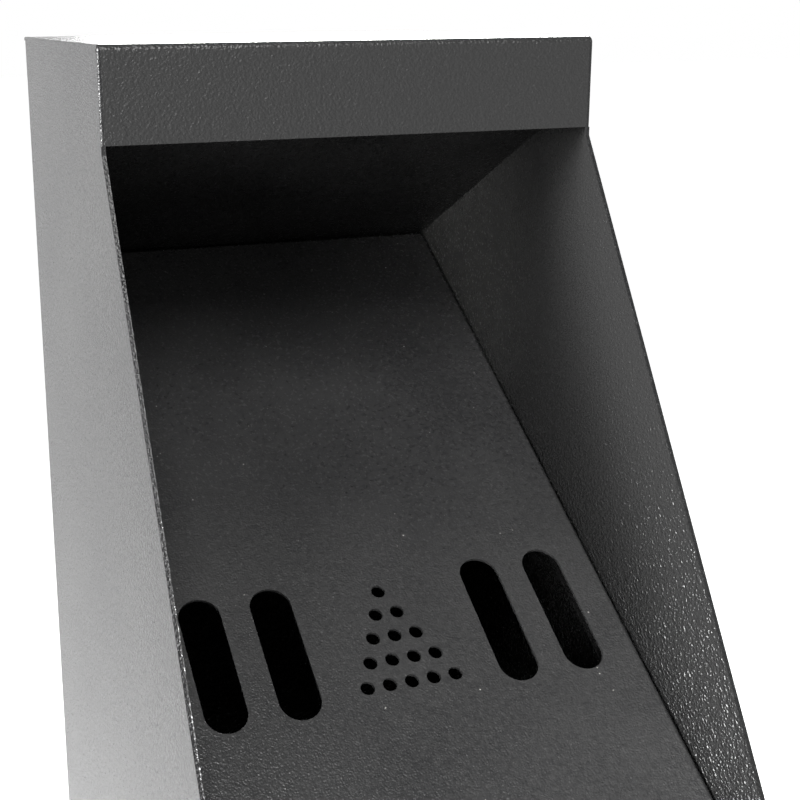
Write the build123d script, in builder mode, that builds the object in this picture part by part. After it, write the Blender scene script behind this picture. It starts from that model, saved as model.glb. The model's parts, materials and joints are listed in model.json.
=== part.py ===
"""Ashtray bin: a folded steel street bin with a stub-out plate in a recess under its hood.

Frame: +Z up, the front faces -Y, and the origin is on the floor under the middle of the body.
Units are millimetres.
"""

from build123d import *

import os
from math import cos, radians, sin, tan

os.makedirs("parts", exist_ok=True)

# ---- driving dimensions ---------------------------------------------------------------------
body_width = 240.0
body_depth = 406.0
total_height = 900.0
shell_sheet = 2.0
shell_bend = 4.0

pad_height = 5.0
base_sheet = 3.0

hood_depth = 226.0
lip_height = 43.0
lip_return = 14.0
slope_start = 47.0
slope_angle = 32.0

fold_setback = 192.0
fold_drop = 122.0
ceiling_angle = 27.0
ceiling_sheet = 1.5

plate_angle = 32.2
plate_sheet = 1.5
plate_gap = 1.0
plate_flange = 12.0
plate_front_flange = 25.0
plate_bend = 2.5

slot_length = 70.0
slot_width = 20.0
slot_offsets = (54.2, 88.6)
slot_down = 281.0
hole_diameter = 6.8
hole_rows = 5
hole_pitch = 10.9
hole_row_pitch = 12.4
first_hole_down = 256.5

door_depth = 20.0
door_gap = 2.0
door_top_gap = 2.0
plinth_height = 43.0
jamb_width = 14.0
rail_leg = 24.0

hinge_height = 60.0
hinge_levels = {"lower": 150.0, "upper": 430.0}
leaf_thickness = 2.0
barrel_radius = 4.5
pin_diameter = 5.0
running_clearance = 0.05
rivet_diameter = 4.8

lock_level = 300.0
lock_inset = 35.0
lock_barrel = 20.0
plug_diameter = 14.0
cam_length = 28.0
cam_width = 14.0
cam_thickness = 3.0

shelf_level = 100.0
shelf_upstand = 12.0
liner_width = 200.0
liner_depth = 300.0
liner_height = 300.0
liner_sheet = 1.0
liner_corner = 12.0
liner_seat_gap = 0.3
rim_width = 3.0
rim_height = 5.0
bail_wire = 5.0
bail_reach = 152.0
bail_drop = 12.0

# ---- places worked out from them ------------------------------------------------------------
half_width = body_width / 2
inner_half = half_width - shell_sheet
front_y = -body_depth / 2
back_y = body_depth / 2
lip_y = back_y - hood_depth
top_z = total_height
lip_bottom_z = top_z - lip_height
slope_z = top_z - slope_start
knee_z = slope_z - (lip_y - front_y) / tan(radians(slope_angle))
fold_y = lip_y + fold_setback
fold_z = top_z - fold_drop
plate_tan = tan(radians(plate_angle))
ceiling_tan = tan(radians(ceiling_angle))
plate_front_z = fold_z - (fold_y - front_y) * plate_tan
header_z = plate_front_z - plate_front_flange - shell_sheet
door_top_z = header_z - door_top_gap
door_bottom_z = plinth_height + door_gap
door_back_y = front_y + door_depth
frame_y = door_back_y + door_gap
hinge_x = half_width + barrel_radius
hinge_y = door_back_y + door_gap / 2
rivet_step = 20.0
door_rivet_y = front_y + 9
frame_rivet_y = hinge_y + 21

plate_plane = Plane(
    origin=(0, fold_y, fold_z),
    x_dir=(1, 0, 0),
    z_dir=(0, -sin(radians(plate_angle)), cos(radians(plate_angle))),
)


# ---- shapes used more than once -------------------------------------------------------------
def facing_back(x, y, z):
    """An upright plane at a point, whose normal runs from the front to the back."""
    return Plane(origin=(x, y, z), z_dir=(0, 1, 0))


def block(x, y, z, mode=Mode.ADD):
    """A box between two values on each axis, in the open part."""
    centre = ((x[0] + x[1]) / 2, (y[0] + y[1]) / 2, (z[0] + z[1]) / 2)
    with Locations(centre):
        Box(x[1] - x[0], y[1] - y[0], z[1] - z[0], mode=mode)


def bent_sheet(plane, points, bend, thickness, side, length, both=True):
    """A folded strip: a path with rounded bends, thickened to one side and extruded."""
    with BuildSketch(plane) as section:
        with BuildLine():
            FilletPolyline(*points, radius=bend)
            offset(amount=thickness, side=side)
        make_face()
    extrude(section.sketch, amount=length, both=both)


def rod(start, direction, radius, length, mode=Mode.ADD):
    """A round bar from a point along a direction, in the open part."""
    with BuildSketch(Plane(origin=start, z_dir=direction)) as section:
        Circle(radius)
    extrude(section.sketch, amount=length, mode=mode)


def save(piece, name):
    """Label a finished piece and write it under its own name."""
    piece.part.label = name
    export_step(piece.part, f"parts/{name}.step")


# ---- shell: back and both sides in one folded sheet -------------------------------------------
with BuildPart() as body_shell:
    with BuildSketch(Plane.XY.offset(pad_height)):
        Rectangle(body_width, body_depth)
        fillet(vertices().group_by(Axis.Y)[-1], radius=shell_bend)
        with BuildSketch(mode=Mode.PRIVATE) as hollow:
            with Locations((0, -shell_sheet)):
                Rectangle(2 * inner_half, body_depth)
            fillet(hollow.vertices().group_by(Axis.Y)[-1], radius=shell_bend - shell_sheet)
        add(hollow.sketch, mode=Mode.SUBTRACT)
    extrude(amount=top_z - shell_sheet - pad_height)
    with BuildSketch(Plane.YZ):
        with BuildLine():
            Polyline(
                (lip_y + 2 * shell_sheet, top_z),
                (lip_y + 2 * shell_sheet, top_z - shell_sheet),
                (lip_y + shell_sheet, top_z - 2 * shell_sheet),
                (lip_y + shell_sheet, lip_bottom_z),
                (lip_y, lip_bottom_z),
                (lip_y, slope_z),
                (front_y, knee_z),
                (2 * front_y, knee_z),
                (2 * front_y, top_z),
                close=True,
            )
        make_face()
    extrude(amount=body_width, both=True, mode=Mode.SUBTRACT)
    block((-body_width, body_width), (2 * front_y, frame_y), (plinth_height, header_z), Mode.SUBTRACT)
    for level in hinge_levels.values():
        for step in (-rivet_step, rivet_step):
            rod((half_width + 1, frame_rivet_y, level + step), (-1, 0, 0), rivet_diameter / 2,
                shell_sheet + 2, Mode.SUBTRACT)
save(body_shell, "body_shell")

# ---- hood: top, front lip and the return under the lip ---------------------------------------
hood_bend = 3.0
hood_edge = 1.0
with BuildPart() as hood:
    bent_sheet(
        Plane.YZ,
        [(back_y, top_z), (lip_y, top_z), (lip_y, lip_bottom_z)],
        hood_bend,
        shell_sheet,
        Side.LEFT,
        half_width,
    )
    block((-inner_half, inner_half), (lip_y + shell_sheet, lip_y + lip_return),
          (lip_bottom_z, lip_bottom_z + shell_sheet))
    lip_ends = hood.edges().filter_by(Axis.Z).group_by(Axis.Y)[0]
    fillet(lip_ends, radius=hood_edge)
save(hood, "hood")

# ---- ceiling of the recess, from behind the lip down to the back -----------------------------
inner_back_y = back_y - shell_sheet
ceiling_front_y = lip_y + shell_sheet
ceiling_tab = 14.0
ceiling_bend = 2.5
with BuildPart() as hood_ceiling:
    ceiling_front_z = fold_z + (fold_y - ceiling_front_y) * ceiling_tan
    ceiling_back_y = inner_back_y - ceiling_sheet
    ceiling_back_z = fold_z - (ceiling_back_y - fold_y) * ceiling_tan
    bent_sheet(
        Plane.YZ,
        [
            (ceiling_front_y, ceiling_front_z + ceiling_tab),
            (ceiling_front_y, ceiling_front_z),
            (ceiling_back_y, ceiling_back_z),
            (ceiling_back_y, ceiling_back_z - ceiling_tab),
        ],
        ceiling_bend,
        ceiling_sheet,
        Side.LEFT,
        inner_half,
    )
    for side in (-1, 1):
        block(sorted((side * (inner_half - shell_bend), side * half_width)),
              (inner_back_y - shell_bend, back_y),
              (ceiling_back_z - 2 * ceiling_tab, fold_z), Mode.SUBTRACT)
save(hood_ceiling, "hood_ceiling")

# ---- stub plate: a shallow folded tray with slots and stubbing holes --------------------------
plate_half = inner_half - plate_gap
plate_clear = 0.5
screw_x = 90.0
screw_hole = 2.75
slope_sin = sin(radians(plate_angle))
slope_cos = cos(radians(plate_angle))


def plate_line_z(y, below=0.0):
    """Height of the plate's top surface at a depth, or of a plane parallel to it and below it."""
    return fold_z - (fold_y - y) * plate_tan - below / slope_cos


with BuildPart() as stub_plate:
    tray_back_y = fold_y - plate_clear
    tray_inner_y = front_y + plate_flange
    flange_bottom_z = plate_front_z - plate_front_flange
    screw_z = flange_bottom_z + plate_front_flange / 2
    with BuildSketch(Plane.YZ):
        with BuildLine():
            Polyline(
                (tray_back_y, plate_line_z(tray_back_y)),
                (front_y, plate_front_z),
                (front_y, flange_bottom_z),
                (tray_inner_y, flange_bottom_z),
                (tray_inner_y, plate_line_z(tray_inner_y, plate_flange)),
                (tray_back_y + plate_flange * slope_sin,
                 plate_line_z(tray_back_y) - plate_flange * slope_cos),
                close=True,
            )
        make_face()
    extrude(amount=plate_half, both=True)
    top_face = stub_plate.faces().filter_by(lambda f: f.normal_at().dot(plate_plane.z_dir) > 0.999)
    front_face = stub_plate.faces().sort_by(Axis.Y)[0]
    bend_edges = ShapeList(set(top_face[0].edges()) | set(front_face.edges().filter_by(Axis.Z)))
    fillet(bend_edges, radius=plate_bend)
    under_faces = stub_plate.faces().filter_by(
        lambda f: f.normal_at().dot(plate_plane.z_dir) < -0.999
        or f.normal_at().Z < -0.999
        or (f.normal_at().Y > 0.999)
    )
    offset(amount=-plate_sheet, openings=under_faces)
    with BuildSketch(plate_plane):
        with Locations([(side * x, -slot_down) for x in slot_offsets for side in (-1, 1)]):
            SlotOverall(slot_length, slot_width, rotation=90)
        for row in range(hole_rows):
            hole_down = first_hole_down + row * hole_row_pitch
            for place in range(row + 1):
                with Locations(((place - row / 2) * hole_pitch, -hole_down)):
                    Circle(hole_diameter / 2)
    extrude(amount=plate_bend, both=True, mode=Mode.SUBTRACT)
    for side in (-1, 1):
        rod((side * screw_x, front_y - 1, screw_z), (0, 1, 0), screw_hole, plate_sheet + 2, Mode.SUBTRACT)
save(stub_plate, "stub_plate")

# ---- ledges under the plate's side flanges ------------------------------------------------
ledge_leg = 15.0
ledge_length = 300.0
ledge_sheet = 1.5
ledge_down = 200.0
for side, name in ((-1, "left_plate_ledge"), (1, "right_plate_ledge")):
    with BuildPart() as ledge:
        with BuildSketch(plate_plane.offset(-plate_flange)):
            with Locations((side * (inner_half - ledge_leg / 2), -ledge_down)):
                Rectangle(ledge_leg, ledge_length)
        extrude(amount=-ledge_sheet)
        with BuildSketch(plate_plane.offset(-plate_flange)):
            with Locations((side * (inner_half - ledge_sheet / 2), -ledge_down)):
                Rectangle(ledge_sheet, ledge_length)
        extrude(amount=-ledge_leg)
    save(ledge, name)

# ---- header rail behind the plate's front flange, with the plate's screws and nuts -------------
header_front_y = front_y + plate_sheet
header_bend = 2.5
with BuildPart() as header_rail:
    bent_sheet(
        Plane.YZ,
        [
            (header_front_y, plate_front_z - 3 * plate_sheet),
            (header_front_y, header_z),
            (header_front_y + rail_leg, header_z),
        ],
        header_bend,
        shell_sheet,
        Side.LEFT,
        inner_half,
    )
    for side in (-1, 1):
        rod((side * screw_x, header_front_y - 1, screw_z), (0, 1, 0), screw_hole, shell_sheet + 2,
            Mode.SUBTRACT)
        ends = sorted((side * (plate_half - plate_bend - plate_clear), side * half_width))
        block(ends, (front_y, tray_inner_y), (header_z + shell_sheet, plate_front_z), Mode.SUBTRACT)
save(header_rail, "header_rail")

screw_radius = 2.5
screw_head_radius = 4.75
screw_head_height = 2.7
screw_dome_flat = 0.5
screw_length = 12.0
socket_radius = 1.7
socket_depth = 1.8
nut_radius = 4.6
nut_height = 4.0
with BuildPart() as plate_screws:
    for side in (-1, 1):
        rod((side * screw_x, front_y, screw_z), (0, 1, 0), screw_radius, screw_length)
        rod((side * screw_x, front_y, screw_z), (0, -1, 0), screw_head_radius, screw_head_height)
    dome_edges = plate_screws.edges().filter_by(GeomType.CIRCLE).group_by(Axis.Y)[0]
    fillet(dome_edges, radius=screw_head_height - screw_dome_flat)
    for side in (-1, 1):
        with BuildSketch(facing_back(side * screw_x, front_y - screw_head_height, screw_z)):
            RegularPolygon(radius=socket_radius, side_count=6)
        extrude(amount=socket_depth, mode=Mode.SUBTRACT)
save(plate_screws, "plate_screws")

with BuildPart() as plate_nuts:
    for side in (-1, 1):
        with BuildSketch(facing_back(side * screw_x, header_front_y + shell_sheet, screw_z)):
            RegularPolygon(radius=nut_radius, side_count=6)
            Circle(screw_radius + running_clearance, mode=Mode.SUBTRACT)
        extrude(amount=nut_height)
save(plate_nuts, "plate_nuts")

# ---- door frame: two jambs and the plinth rail ---------------------------------------------
jamb_leg = 16.0
jamb_bend = 2.5
for side, name in ((-1, "left_jamb"), (1, "right_jamb")):
    with BuildPart() as jamb:
        bent_sheet(
            Plane.XY.offset(plinth_height),
            [
                (side * inner_half, frame_y + jamb_leg),
                (side * inner_half, frame_y),
                (side * (inner_half - jamb_width), frame_y),
            ],
            jamb_bend,
            shell_sheet,
            Side.LEFT if side < 0 else Side.RIGHT,
            header_z - plinth_height,
            both=False,
        )
    save(jamb, name)

with BuildPart() as plinth_rail:
    bent_sheet(
        Plane.YZ,
        [(front_y, pad_height), (front_y, plinth_height), (front_y + rail_leg, plinth_height)],
        header_bend,
        shell_sheet,
        Side.RIGHT,
        inner_half,
    )
save(plinth_rail, "plinth_rail")

# ---- base plate with anchor holes, and the pads it stands on -----------------------------------
anchor_spacing = (160.0, 300.0)
anchor_diameter = 12.0
drain_diameter = 8.0
pad_spacing = (190.0, 356.0)
pad_radius = 16.0
pad_stem_radius = 4.0
pad_chamfer = 1.0
with BuildPart() as base_plate:
    block(
        (-inner_half, inner_half),
        (front_y + shell_sheet, inner_back_y),
        (pad_height, pad_height + base_sheet),
    )
    fillet(base_plate.edges().filter_by(Axis.Z).group_by(Axis.Y)[-1], radius=shell_bend - shell_sheet)
    with Locations((0, 0, pad_height + base_sheet)):
        with GridLocations(anchor_spacing[0], anchor_spacing[1], 2, 2):
            Hole(anchor_diameter / 2)
        with GridLocations(anchor_spacing[0] / 2, anchor_spacing[1] / 3, 2, 2):
            Hole(drain_diameter / 2)
        with GridLocations(pad_spacing[0], pad_spacing[1], 2, 2):
            Hole(pad_stem_radius)
save(base_plate, "base_plate")

with BuildPart() as floor_pads:
    with BuildSketch():
        with GridLocations(pad_spacing[0], pad_spacing[1], 2, 2):
            Circle(pad_radius)
    extrude(amount=pad_height)
    chamfer(floor_pads.edges().filter_by(GeomType.CIRCLE).group_by(Axis.Z)[0], length=pad_chamfer)
    with BuildSketch(Plane.XY.offset(pad_height)):
        with GridLocations(pad_spacing[0], pad_spacing[1], 2, 2):
            Circle(pad_stem_radius)
    extrude(amount=base_sheet)
save(floor_pads, "floor_pads")

# ---- shelf that carries the liner, on two brackets ---------------------------------------------
shelf_front_y = -170.0
shelf_half = inner_half - door_gap
shelf_hole_spacing = 80.0
bracket_leg = 20.0
bracket_front_y = frame_y + jamb_leg + door_gap
with BuildPart() as liner_shelf:
    bent_sheet(
        Plane.YZ,
        [
            (shelf_front_y, shelf_level + shell_sheet + shelf_upstand),
            (shelf_front_y, shelf_level),
            (inner_back_y - door_gap, shelf_level),
        ],
        header_bend,
        shell_sheet,
        Side.LEFT,
        shelf_half,
    )
    with Locations((0, 0, shelf_level + shell_sheet)):
        with GridLocations(shelf_hole_spacing, shelf_hole_spacing, 2, 3):
            Hole(drain_diameter / 2)
save(liner_shelf, "liner_shelf")

for side, name in ((-1, "left_shelf_bracket"), (1, "right_shelf_bracket")):
    with BuildPart() as bracket:
        bent_sheet(
            Plane.XZ.offset(-bracket_front_y),
            [
                (side * (inner_half - bracket_leg), shelf_level),
                (side * inner_half, shelf_level),
                (side * inner_half, shelf_level - bracket_leg),
            ],
            header_bend,
            shell_sheet,
            Side.RIGHT if side > 0 else Side.LEFT,
            bracket_front_y + door_gap - inner_back_y,
            both=False,
        )
    save(bracket, name)

# ---- rubber buffers that the door closes on -------------------------------------------------
buffer_radius = 5.0
buffer_x = -(inner_half - jamb_width / 2)
buffer_levels = (90.0, 470.0)
buffer_gap = 0.5
buffer_round = 1.5
with BuildPart() as door_buffers:
    for level in buffer_levels:
        rod((buffer_x, frame_y, level), (0, -1, 0), buffer_radius,
            door_depth + door_gap - shell_sheet - buffer_gap)
    fillet(door_buffers.edges().filter_by(GeomType.CIRCLE).group_by(Axis.Y)[0], radius=buffer_round)
save(door_buffers, "door_buffers")

# ---- door: a full-width folded pan, with a stiffener -------------------------------------------
lock_x = -half_width + lock_inset
with BuildPart() as door_panel:
    block((-half_width, half_width), (front_y, door_back_y), (door_bottom_z, door_top_z))
    fillet(door_panel.faces().sort_by(Axis.Y)[0].edges(), radius=hood_bend)
    offset(amount=-shell_sheet, openings=door_panel.faces().sort_by(Axis.Y)[-1])
    rod((lock_x, front_y - 1, lock_level), (0, 1, 0), lock_barrel / 2 + running_clearance,
        shell_sheet + 2, Mode.SUBTRACT)
    for level in hinge_levels.values():
        for step in (-rivet_step, rivet_step):
            rod((half_width + 1, door_rivet_y, level + step), (-1, 0, 0), rivet_diameter / 2,
                shell_sheet + 2, Mode.SUBTRACT)
save(door_panel, "door_panel")

stiffener_depth = 12.0
stiffener_foot = 15.0
stiffener_crown = 40.0
stiffener_bend = 2.0
stiffener_end_gap = 35.0
with BuildPart() as door_stiffener:
    skin_y = front_y + shell_sheet
    crown_y = skin_y + stiffener_depth
    crown_x = (stiffener_foot, stiffener_foot + stiffener_crown)
    bent_sheet(
        Plane.XY.offset(door_bottom_z + stiffener_end_gap),
        [
            (0, skin_y),
            (crown_x[0], skin_y),
            (crown_x[0], crown_y),
            (crown_x[1], crown_y),
            (crown_x[1], skin_y),
            (crown_x[1] + stiffener_foot, skin_y),
        ],
        stiffener_bend,
        ceiling_sheet,
        Side.LEFT,
        door_top_z - door_bottom_z - 2 * stiffener_end_gap,
        both=False,
    )
save(door_stiffener, "door_stiffener")

# ---- butt hinges on the right side -----------------------------------------------------------
knuckle_gap = 0.4
leaf_reach = 28.0
leaf_gap = 1.0
leaf_root = 3.0
pin_head_radius = 4.0
pin_head_height = 2.0
pin_head_round = 1.0


def knuckle(level, span):
    """One barrel length of a hinge, bored for its pin."""
    with BuildSketch(Plane.XY.offset(level + span[0])) as ring:
        with Locations((hinge_x, hinge_y)):
            Circle(barrel_radius)
    extrude(ring.sketch, amount=span[1] - span[0])


def bore(level):
    """The pin hole down a hinge's barrel."""
    rod((hinge_x, hinge_y, level - hinge_height), (0, 0, 1), pin_diameter / 2 + running_clearance,
        2 * hinge_height, Mode.SUBTRACT)


half_hinge = hinge_height / 2
third = hinge_height / 6
for which, level in hinge_levels.items():
    with BuildPart() as frame_leaf:
        block((half_width, half_width + leaf_thickness), (hinge_y + leaf_gap, hinge_y + leaf_reach),
              (level - half_hinge, level + half_hinge))
        middle = (level - third - knuckle_gap, level + third + knuckle_gap)
        block((half_width, half_width + leaf_thickness), (hinge_y - barrel_radius, hinge_y + leaf_root),
              middle, Mode.SUBTRACT)
        block((half_width, hinge_x),
              (hinge_y - barrel_radius - leaf_gap, hinge_y + barrel_radius + knuckle_gap),
              middle, Mode.SUBTRACT)
        knuckle(level, (-half_hinge, -third - knuckle_gap))
        knuckle(level, (third + knuckle_gap, half_hinge))
        bore(level)
        for step in (-rivet_step, rivet_step):
            rod((half_width - 1, frame_rivet_y, level + step), (1, 0, 0), rivet_diameter / 2,
                leaf_thickness + 2, Mode.SUBTRACT)
    save(frame_leaf, f"{which}_hinge_frame_leaf")

    with BuildPart() as door_leaf:
        block((half_width, half_width + leaf_thickness), (front_y + hood_bend, hinge_y - leaf_gap),
              (level - half_hinge, level + half_hinge))
        for zone in ((-half_hinge, -third), (third, half_hinge)):
            block((half_width, hinge_x),
                  (hinge_y - barrel_radius - knuckle_gap, hinge_y),
                  (level + zone[0], level + zone[1]), Mode.SUBTRACT)
        knuckle(level, (-third, third))
        bore(level)
        for step in (-rivet_step, rivet_step):
            rod((half_width - 1, door_rivet_y, level + step), (1, 0, 0), rivet_diameter / 2,
                leaf_thickness + 2, Mode.SUBTRACT)
    save(door_leaf, f"{which}_hinge_door_leaf")

    with BuildPart() as hinge_pin:
        rod((hinge_x, hinge_y, level - half_hinge), (0, 0, 1), pin_diameter / 2, hinge_height)
        rod((hinge_x, hinge_y, level + half_hinge), (0, 0, 1), pin_head_radius, pin_head_height)
        fillet(hinge_pin.edges().filter_by(GeomType.CIRCLE).group_by(Axis.Z)[-1], radius=pin_head_round)
    save(hinge_pin, f"{which}_hinge_pin")

rivet_head_radius = 4.5
rivet_head_height = 1.4
rivet_head_round = 1.2
rivet_tail = 3.0
rivet_tail_radius = rivet_diameter / 2 + 1.0
rivet_grip = leaf_thickness + shell_sheet


def rivets(part_y):
    """Domed blind rivets through both hinges' leaves at one depth."""
    outside_x = half_width + leaf_thickness
    for level in hinge_levels.values():
        for step in (-rivet_step, rivet_step):
            rod((outside_x, part_y, level + step), (-1, 0, 0), rivet_diameter / 2, rivet_grip)
            rod((outside_x, part_y, level + step), (1, 0, 0), rivet_head_radius, rivet_head_height)
            rod((outside_x - rivet_grip, part_y, level + step), (-1, 0, 0), rivet_tail_radius, rivet_tail)


with BuildPart() as frame_rivets:
    rivets(frame_rivet_y)
    fillet(frame_rivets.edges().filter_by(GeomType.CIRCLE).group_by(Axis.X)[-1], radius=rivet_head_round)
save(frame_rivets, "hinge_frame_rivets")

with BuildPart() as door_rivets:
    rivets(door_rivet_y)
    fillet(door_rivets.edges().filter_by(GeomType.CIRCLE).group_by(Axis.X)[-1], radius=rivet_head_round)
save(door_rivets, "hinge_door_rivets")

# ---- triangular-key cam lock on the left of the door -------------------------------------------
lock_head_radius = 13.0
lock_head = 3.0
lock_head_round = 1.2
lock_nut_radius = 14.5
lock_nut_height = 6.0
plug_recess = 0.8
key_radius = 5.0
key_depth = 8.0
cam_clear = 0.5
cam_round = 3.0
cam_front_y = frame_y + shell_sheet + cam_clear
housing_end_y = frame_y - door_gap / 2
square_end = 8.0
with BuildPart() as lock_housing:
    rod((lock_x, front_y, lock_level), (0, -1, 0), lock_head_radius, lock_head)
    rod((lock_x, front_y, lock_level), (0, 1, 0), lock_barrel / 2, housing_end_y - front_y)
    fillet(lock_housing.edges().filter_by(GeomType.CIRCLE).group_by(Axis.Y)[0], radius=lock_head_round)
    rod((lock_x, front_y - 2 * lock_head, lock_level), (0, 1, 0), plug_diameter / 2 + running_clearance,
        2 * door_depth + 2 * lock_head, Mode.SUBTRACT)
save(lock_housing, "lock_housing")

with BuildPart() as lock_nut:
    with BuildSketch(facing_back(lock_x, front_y + shell_sheet, lock_level)):
        RegularPolygon(radius=lock_nut_radius, side_count=6)
        Circle(lock_barrel / 2 + running_clearance, mode=Mode.SUBTRACT)
    extrude(amount=lock_nut_height)
save(lock_nut, "lock_nut")

cam_screw_radius = 2.0
cam_screw_length = 9.0
cam_screw_hole = (2.1, 11.0)
plug_front_y = front_y - lock_head + plug_recess
with BuildPart() as lock_plug:
    rod((lock_x, plug_front_y, lock_level), (0, 1, 0), plug_diameter / 2, cam_front_y - plug_front_y)
    block(
        (lock_x - square_end / 2, lock_x + square_end / 2),
        (cam_front_y, cam_front_y + cam_thickness),
        (lock_level - square_end / 2, lock_level + square_end / 2),
    )
    with BuildSketch(facing_back(lock_x, plug_front_y, lock_level)):
        RegularPolygon(radius=key_radius, side_count=3)
    extrude(amount=key_depth, mode=Mode.SUBTRACT)
    rod((lock_x, cam_front_y + cam_thickness, lock_level), (0, -1, 0), *cam_screw_hole, Mode.SUBTRACT)
save(lock_plug, "lock_plug")

with BuildPart() as lock_cam:
    cam_plane = Plane(origin=(lock_x, cam_front_y, lock_level), x_dir=(0, 0, 1), z_dir=(0, 1, 0))
    with BuildSketch(cam_plane):
        Circle(cam_width / 2)
        with Locations((cam_length / 2, 0)):
            Rectangle(cam_length, cam_width)
        Rectangle(square_end + 2 * running_clearance, square_end + 2 * running_clearance,
                  mode=Mode.SUBTRACT)
    extrude(amount=cam_thickness)
    fillet(lock_cam.edges().filter_by(Axis.Y).group_by(Axis.Z)[-1], radius=cam_round)
save(lock_cam, "lock_cam")

washer = (7.0, 1.2)
cam_screw_head = (4.2, 2.6)
with BuildPart() as cam_screw:
    cam_back_y = cam_front_y + cam_thickness
    rod((lock_x, cam_back_y, lock_level), (0, 1, 0), *washer)
    rod((lock_x, cam_back_y + washer[1], lock_level), (0, 1, 0), *cam_screw_head)
    fillet(cam_screw.edges().filter_by(GeomType.CIRCLE).group_by(Axis.Y)[-1], radius=lock_head_round)
    rod((lock_x, cam_back_y, lock_level), (0, -1, 0), cam_screw_radius, cam_screw_length)
save(cam_screw, "cam_screw")

# ---- galvanised liner with its bail -----------------------------------------------------------
liner_floor_z = shelf_level + shell_sheet + liner_seat_gap
liner_rim_z = liner_floor_z + liner_height
liner_foot_round = 4.0
rim_round = 1.5
pivot_z = liner_rim_z - bail_drop
with BuildPart() as liner:
    with BuildSketch(Plane.XY.offset(liner_floor_z)):
        RectangleRounded(liner_width, liner_depth, liner_corner)
    extrude(amount=liner_height)
    fillet(liner.faces().sort_by(Axis.Z)[0].edges(), radius=liner_foot_round)
    offset(amount=-liner_sheet, openings=liner.faces().sort_by(Axis.Z)[-1])
    with BuildSketch(Plane.XY.offset(liner_rim_z - rim_height)):
        RectangleRounded(liner_width + 2 * rim_width, liner_depth + 2 * rim_width, liner_corner + rim_width)
        RectangleRounded(liner_width - 2 * liner_sheet, liner_depth - 2 * liner_sheet,
                         liner_corner - liner_sheet, mode=Mode.SUBTRACT)
    extrude(amount=rim_height)
    rim_top = liner.faces().sort_by(Axis.Z)[-1]
    fillet(rim_top.outer_wire().edges(), radius=rim_round)
save(liner, "liner")

boss_radius = 7.0
boss_length = 4.0
boss_floor = 0.5
liner_inner_x = liner_width / 2 - liner_sheet
with BuildPart() as bail_ears:
    for side in (-1, 1):
        rod((side * liner_inner_x, 0, pivot_z), (-side, 0, 0), boss_radius, boss_length)
        rod((side * (liner_inner_x - boss_floor), 0, pivot_z), (-side, 0, 0),
            bail_wire / 2 + running_clearance, boss_length, Mode.SUBTRACT)
save(bail_ears, "bail_ears")

bail_gap = 1.0
bail_elbow = 3.0
bail_corner = 14.0
bail_x = liner_inner_x - boss_length - bail_gap - bail_wire / 2
bail_pin_x = liner_inner_x - boss_floor - 0.3
bail_rise = bail_drop + bail_wire / 2 + bail_gap
with BuildPart() as bail_handle:
    with BuildLine() as bail_path:
        FilletPolyline(
            (bail_pin_x, 0, pivot_z),
            (bail_x, 0, pivot_z),
            (bail_x, -bail_reach, pivot_z + bail_rise),
            (-bail_x, -bail_reach, pivot_z + bail_rise),
            (-bail_x, 0, pivot_z),
            (-bail_pin_x, 0, pivot_z),
            radius=[bail_elbow, bail_corner, bail_corner, bail_elbow],
        )
    with BuildSketch(Plane(origin=(bail_pin_x, 0, pivot_z), z_dir=(-1, 0, 0))):
        Circle(bail_wire / 2)
    sweep(path=bail_path.line)
save(bail_handle, "bail_handle")
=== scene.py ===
"""Looks of the ashtray bin: materials, rounded edges, light and camera around its CAD frame.

Metres, +Z up, the front faces -Y, and the origin is on the floor under the middle of the body.
"""

import json
from math import cos, radians, sin, tan

import bpy
from mathutils import Matrix, Vector


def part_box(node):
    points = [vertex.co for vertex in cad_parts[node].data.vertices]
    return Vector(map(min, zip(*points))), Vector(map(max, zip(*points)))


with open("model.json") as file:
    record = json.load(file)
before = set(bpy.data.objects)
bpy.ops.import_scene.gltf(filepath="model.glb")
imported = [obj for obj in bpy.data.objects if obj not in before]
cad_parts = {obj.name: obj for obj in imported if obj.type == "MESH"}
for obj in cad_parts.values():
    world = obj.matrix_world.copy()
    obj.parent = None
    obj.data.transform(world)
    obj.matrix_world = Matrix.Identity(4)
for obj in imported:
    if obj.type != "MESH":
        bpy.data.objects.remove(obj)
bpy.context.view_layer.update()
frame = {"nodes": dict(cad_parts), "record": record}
nodes = frame["nodes"]
scene = bpy.context.scene

hood_low, hood_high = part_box("hood")
top_z = hood_high.z
lip_y = hood_low.y

# A point nearer the middle plane than inner_side is on a side wall's inner face or within it, and one
# past outer_side is on its outer face: the walls lie between 118 and 120 mm from that plane.
inner_side = 0.1181
outer_side = 0.1186


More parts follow.
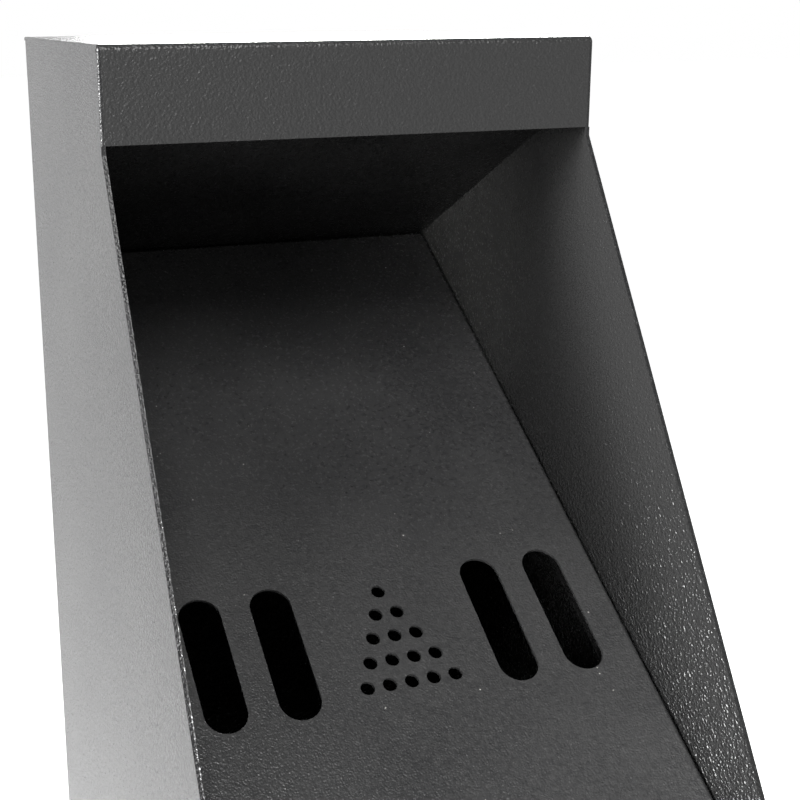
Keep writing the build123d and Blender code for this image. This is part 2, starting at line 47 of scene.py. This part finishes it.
# ---- node graph helpers ----------------------------------------------------------------------
class Graph:
    """A material's node tree, with short ways to add the nodes used here."""

    def __init__(self, name):
        self.material = bpy.data.materials.new(name)
        self.material.use_nodes = True
        self.tree = self.material.node_tree
        self.tree.nodes.clear()
        self.output = self.add("ShaderNodeOutputMaterial")
        self.shader = self.add("ShaderNodeBsdfPrincipled")
        self.link(self.shader.outputs["BSDF"], self.output.inputs["Surface"])
        self.place = self.add("ShaderNodeTexCoord").outputs["Object"]

    def add(self, kind, **values):
        node = self.tree.nodes.new(kind)
        for key, value in values.items():
            setattr(node, key, value)
        return node

    def link(self, source, target):
        self.tree.links.new(source, target)

    def stretched(self, stretch):
        """Object coordinates multiplied along each axis, for brushing and drawn grain."""
        node = self.add("ShaderNodeVectorMath", operation="MULTIPLY")
        self.link(self.place, node.inputs[0])
        node.inputs[1].default_value = stretch
        return node.outputs["Vector"]

    def axis(self, letter):
        """How far a point lies from the origin along one axis, on either side."""
        parts = self.add("ShaderNodeSeparateXYZ")
        self.link(self.place, parts.inputs["Vector"])
        distance = self.add("ShaderNodeMath", operation="ABSOLUTE")
        self.link(parts.outputs[letter], distance.inputs[0])
        return distance.outputs["Value"]

    def near(self, point, reach):
        """1 at a point, falling to 0 at a distance from it."""
        node = self.add("ShaderNodeVectorMath", operation="DISTANCE")
        self.link(self.place, node.inputs[0])
        node.inputs[1].default_value = point
        return self.spread(node.outputs["Value"], reach, 0.0)

    def noise(self, scale, detail=2.0, roughness=0.5, place=None):
        node = self.add("ShaderNodeTexNoise")
        self.link(place or self.place, node.inputs["Vector"])
        node.inputs["Scale"].default_value = scale
        node.inputs["Detail"].default_value = detail
        node.inputs["Roughness"].default_value = roughness
        return node.outputs["Fac"]

    def cells(self, scale, output="Distance", feature="F1"):
        node = self.add("ShaderNodeTexVoronoi", feature=feature)
        self.link(self.place, node.inputs["Vector"])
        node.inputs["Scale"].default_value = scale
        return node.outputs[output]

    def spread(self, value, low, high, to_low=0.0, to_high=1.0):
        """value moved from the range low..high to to_low..to_high, and held there."""
        node = self.add("ShaderNodeMapRange")
        self.link(value, node.inputs["Value"])
        node.inputs["From Min"].default_value = low
        node.inputs["From Max"].default_value = high
        node.inputs["To Min"].default_value = to_low
        node.inputs["To Max"].default_value = to_high
        return node.outputs["Result"]

    def combine(self, a, b, operation="ADD"):
        node = self.add("ShaderNodeMath", operation=operation)
        self.link(a, node.inputs[0])
        self.link(b, node.inputs[1])
        return node.outputs["Value"]

    def blend(self, factor, a, b):
        """A colour between a and b, each a colour or another node's output.

        The mix node's colour sockets go by number, as its other kinds use the same names.
        """
        node = self.add("ShaderNodeMix", data_type="RGBA")
        self.link(factor, node.inputs["Factor"])
        for value, socket in ((a, node.inputs[6]), (b, node.inputs[7])):
            if isinstance(value, tuple):
                socket.default_value = (*value, 1.0)
            else:
                self.link(value, socket)
        return node.outputs[2]

    def bump(self, height, distance, strength=1.0, under=None):
        node = self.add("ShaderNodeBump")
        self.link(height, node.inputs["Height"])
        node.inputs["Distance"].default_value = distance
        node.inputs["Strength"].default_value = strength
        if under is not None:
            self.link(under, node.inputs["Normal"])
        return node.outputs["Normal"]

    def finish(self, colour=None, roughness=None, normal=None, **fixed):
        """Link what varies, and set what is the same all over on the shader itself."""
        for value, socket in ((colour, "Base Color"), (roughness, "Roughness"), (normal, "Normal")):
            if value is not None:
                self.link(value, self.shader.inputs[socket])
        for key, value in fixed.items():
            self.shader.inputs[key.replace("_", " ")].default_value = value
        return self.material


# ---- materials ------------------------------------------------------------------------------
charcoal_dark = (0.005, 0.005, 0.0055)
charcoal_light = (0.011, 0.011, 0.011)
slate_dark = (0.017, 0.017, 0.0175)
slate_light = (0.032, 0.032, 0.032)
# Greys of the coats inside the bin, the darker and the lighter end; the shell's inner faces take the
# lighter one flat, lighter than their outer coat.
inner_grey_dark = (0.004, 0.004, 0.004)
inner_grey = (0.014, 0.014, 0.014)
# The lighter grey of the painted light at the back corner of the right wall.
painted_light_grey = (0.058, 0.058, 0.056)
# Painted light on the back corner of the recess's right wall, a lighter patch standing in for the light
# caught there: where it sits, and how far it reaches.
painted_light_corner = (0.118, 0.165, 0.785)
painted_light_reach = 0.15
dust_colour = (0.42, 0.41, 0.39)


def coat_grain(g, inner):
    """Height of the coat's small rounded bumps, which are coarser low down on the inner faces."""
    pebbles = g.spread(g.cells(1000.0, feature="SMOOTH_F1"), 0.1, 0.7)
    height = g.combine(pebbles, g.noise(1700.0))
    if inner is None:
        return height
    inside = g.spread(g.axis("X"), outer_side, inner_side)
    low_down = g.spread(g.axis("Z"), 0.76, 0.52, 0.15, 1.7)
    coarse = g.spread(g.cells(620.0, feature="SMOOTH_F1"), 0.05, 0.6, 5.0, 0.0)
    return g.combine(height, g.combine(coarse, g.combine(inside, low_down, "MULTIPLY"), "MULTIPLY"))


def with_painted_light(g, inner, outer):
    """The outer colour, and on the inner faces the inner one with painted light, a lighter broken patch,
    at the back corner.
    """
    # Painted light: a lighter, broken patch about the back corner of the right wall.
    painted_light_breakup = g.spread(g.noise(300.0), 0.35, 0.65, 0.5, 1.0)
    painted_light_mask = g.combine(g.near(painted_light_corner, painted_light_reach), painted_light_breakup, "MULTIPLY")
    outside = g.spread(g.axis("X"), inner_side, outer_side)
    return g.blend(outside, g.blend(painted_light_mask, inner, painted_light_grey), outer)


def with_dust(g, colour):
    """The colour with pale specks of dust in loose groups."""
    specks = g.spread(g.cells(150.0), 0.060, 0.045)
    groups = g.spread(g.noise(60.0, detail=0.0), 0.58, 0.60)
    return g.blend(g.combine(specks, groups, "MULTIPLY"), colour, dust_colour)


def powder_coat(name, dark, light, grain, inner=None, dusty=False, specular=0.5):
    """Fine textured powder coat: small rounded bumps and a soft sheen.

    grain scales the bumps, inner is the colour of the faces that look into the bin, and a dusty coat has
    pale specks lying on it.
    """
    g = Graph(name)
    swell = g.noise(140.0, detail=1.0)
    skin = g.bump(coat_grain(g, inner), 0.0005 * grain, 0.8)
    skin = g.bump(swell, 0.0012 * grain, 0.14, under=skin)
    clouds = g.combine(g.noise(9.0, detail=4.0), g.noise(420.0))
    colour = g.blend(g.spread(clouds, 0.75, 1.25), dark, light)
    if inner is not None:
        # On the inner faces: painted light, a lighter patch at the back corner of the right wall.
        colour = with_painted_light(g, inner, colour)
    if dusty:
        colour = with_dust(g, colour)
    rough = g.spread(g.noise(600.0, detail=1.0), 0.3, 0.7, 0.18, 0.29)
    return g.finish(colour, rough, skin, IOR=1.5, Specular_IOR_Level=specular)


def brushed(name, dark, light, stretch, rough=0.32):
    """Drawn or brushed bare metal: fine lines along the axis with the smallest stretch."""
    g = Graph(name)
    lines = g.noise(420.0, detail=4.0, roughness=0.65, place=g.stretched(stretch))
    patches = g.noise(22.0, detail=3.0)
    colour = g.blend(g.spread(g.combine(lines, patches), 0.7, 1.3), dark, light)
    return g.finish(
        colour,
        g.spread(patches, 0.3, 0.7, rough - 0.06, rough + 0.08),
        g.bump(lines, 0.00006, 0.5),
        Metallic=1.0,
    )


def plated(name, dark, light, rough):
    """Zinc or chrome plating over a smooth piece, clouded a little."""
    g = Graph(name)
    clouds = g.noise(55.0, detail=4.0, roughness=0.6)
    grain = g.noise(1400.0, detail=1.0)
    return g.finish(
        g.blend(g.spread(clouds, 0.3, 0.7), dark, light),
        g.spread(clouds, 0.3, 0.7, rough, rough + 0.12),
        g.bump(grain, 0.00004, 0.5),
        Metallic=1.0,
    )


def galvanised(name):
    """Hot-dip zinc: crystals of slightly different grey, with run marks and dull patches."""
    g = Graph(name)
    crystal = g.spread(g.cells(95.0, output="Color"), 0.0, 1.0)
    patches = g.noise(14.0, detail=4.0, roughness=0.6)
    tone = g.spread(g.combine(crystal, patches), 0.3, 1.5)
    colour = g.blend(tone, (0.30, 0.32, 0.34), (0.60, 0.62, 0.63))
    rough = g.spread(tone, 0.0, 1.0, 0.50, 0.32)
    return g.finish(colour, rough, g.bump(tone, 0.00012, 0.4), Metallic=1.0)


def rubber(name):
    """Moulded black rubber with a faint bloom."""
    g = Graph(name)
    bloom = g.noise(60.0, detail=4.0, roughness=0.6)
    colour = g.blend(g.spread(bloom, 0.4, 0.75), (0.010, 0.010, 0.010), (0.045, 0.044, 0.042))
    return g.finish(colour, g.spread(bloom, 0.3, 0.7, 0.62, 0.82), g.bump(g.noise(900.0), 0.00012, 0.6))


finishes = {
    "shell_powder_coat": powder_coat(
        "shell_powder_coat", charcoal_dark, charcoal_light, grain=0.45, inner=inner_grey, specular=0.3),
    "recess_powder_coat": powder_coat("recess_powder_coat", inner_grey_dark, inner_grey, grain=0.4, specular=0.25),
    "plate_powder_coat": powder_coat("plate_powder_coat", slate_dark, slate_light, grain=0.3, dusty=True),
    "inner_powder_coat": powder_coat("inner_powder_coat", inner_grey_dark, inner_grey, grain=0.7, specular=0.3),
    "door_powder_coat": powder_coat("door_powder_coat", charcoal_dark, charcoal_light, grain=0.45),
    "stainless": brushed("stainless", (0.42, 0.42, 0.41), (0.62, 0.62, 0.60), (1.0, 1.0, 0.05)),
    "zinc_plate": plated("zinc_plate", (0.46, 0.47, 0.50), (0.66, 0.66, 0.64), 0.26),
    "rivet_aluminium": plated("rivet_aluminium", (0.60, 0.60, 0.61), (0.78, 0.78, 0.78), 0.24),
    "lock_chrome": plated("lock_chrome", (0.50, 0.51, 0.52), (0.64, 0.64, 0.65), 0.16),
    "black_rubber": rubber("black_rubber"),
    "galvanised": galvanised("galvanised"),
    "zinc_wire": brushed("zinc_wire", (0.40, 0.41, 0.42), (0.60, 0.60, 0.60), (0.05, 1.0, 1.0), 0.36),
}


def finish_nodes():
    """Give every CAD node the material of its slot in the record."""
    for entry in frame["record"]["subparts"]:
        piece = nodes[entry["node"]]
        piece.data.materials.clear()
        piece.data.materials.append(finishes[entry["material_slot"]])


# ---- rounded edges ----------------------------------------------------------------------------
edge_radii = {
    "body_shell": 0.0009,
    "hood": 0.0007,
    "hood_ceiling": 0.0004,
    "stub_plate": 0.0005,
    "door_panel": 0.0005,
    "plinth_rail": 0.0004,
    "header_rail": 0.0004,
    "base_plate": 0.0005,
    "liner": 0.0003,
}
unclamped = ("body_shell", "stub_plate")
sharp_edge = radians(50)


def round_edges():
    """The coat rounds every cut edge of the sheet, which gives it its thin highlight."""
    for name, radius in edge_radii.items():
        rounding = nodes[name].modifiers.new("coated_edges", "BEVEL")
        rounding.width = radius
        rounding.segments = 2
        rounding.limit_method = "ANGLE"
        rounding.angle_limit = sharp_edge
        rounding.use_clamp_overlap = name not in unclamped
        rounding.harden_normals = False


# ---- floor, light and camera --------------------------------------------------------------------
def make_floor():
    """A plain pale floor."""
    bpy.ops.mesh.primitive_plane_add(size=40.0, location=(0, 0, 0))
    floor = bpy.context.object
    floor.name = "floor"
    g = Graph("pale_floor")
    floor.data.materials.append(g.finish(
        Base_Color=(0.82, 0.82, 0.82, 1.0),
        Roughness=0.9,
        Emission_Color=(1, 1, 1, 1),
        Emission_Strength=0.68,
    ))


def area_light(name, place, target, size, power):
    """A square softbox with a grid, pointed at target; power is what it would need without the grid."""
    half_beam = radians(30)
    data = bpy.data.lights.new(name, "AREA")
    data.shape = "SQUARE"
    data.size = size
    data.spread = 2 * half_beam
    data.energy = power * (1 - half_beam / tan(half_beam))
    light = bpy.data.objects.new(name, data)
    light.location = place
    light.rotation_mode = "QUATERNION"
    light.rotation_quaternion = (Vector(target) - Vector(place)).to_track_quat("-Z", "Y")
    scene.collection.objects.link(light)


def make_world():
    """White surroundings that darken overhead."""
    world = bpy.data.worlds.new("studio")
    scene.world = world
    world.use_nodes = True
    tree = world.node_tree
    background = tree.nodes["Background"]
    background.inputs["Color"].default_value = (1, 1, 1, 1)
    height = tree.nodes.new("ShaderNodeSeparateXYZ")
    tree.links.new(tree.nodes.new("ShaderNodeTexCoord").outputs["Generated"], height.inputs["Vector"])
    darker = tree.nodes.new("ShaderNodeMapRange")
    for key, value in {"From Min": 0.15, "From Max": 0.75, "To Min": 1.0, "To Max": 0.25}.items():
        darker.inputs[key].default_value = value
    tree.links.new(height.outputs["Z"], darker.inputs["Value"])
    tree.links.new(darker.outputs["Result"], background.inputs["Strength"])


def make_lights():
    """Gridded softboxes on the left, in front and behind, on the hood or on the recess below it."""
    head = (0, 0, top_z)
    recess = (0, 0, top_z - 0.2)
    area_light("left_softbox", (-2.2, -0.25, 1.10), head, 0.5, 130)
    area_light("upper_left_softbox", (-2.0, -0.20, 1.45), recess, 0.7, 170)
    area_light("front_left_softbox", (-1.45, -1.30, 0.90), recess, 0.8, 60)
    area_light("front_softbox", (-0.3, -1.35, 2.25), recess, 0.9, 74)
    area_light("back_softbox", (1.05, 2.6, 1.15), head, 1.3, 150)


def make_camera():
    """The viewpoint: left of the front, a little above the top, looking down at the recess."""
    place = Vector((-0.2287, lip_y - 0.5871, top_z + 0.0131))
    yaw = radians(18.69)
    down = radians(14.28)
    roll = radians(-0.55)
    forward = Vector((sin(yaw) * cos(down), cos(yaw) * cos(down), -sin(down)))
    level = Vector((cos(yaw), -sin(yaw), 0))
    upright = level.cross(forward)
    right = level * cos(roll) + upright * sin(roll)
    up = upright * cos(roll) - level * sin(roll)
    data = bpy.data.cameras.new("camera")
    data.sensor_width = 36.0
    data.lens = 61.03
    data.shift_x = 0.125
    data.shift_y = -0.055
    data.clip_start = 0.02
    camera = bpy.data.objects.new("camera", data)
    camera.matrix_world = Matrix((
        (right.x, up.x, -forward.x, place.x),
        (right.y, up.y, -forward.y, place.y),
        (right.z, up.z, -forward.z, place.z),
        (0, 0, 0, 1),
    ))
    scene.collection.objects.link(camera)
    scene.camera = camera


finish_nodes()
round_edges()
make_floor()
make_world()
make_lights()
make_camera()
scene.view_settings.view_transform = "Standard"
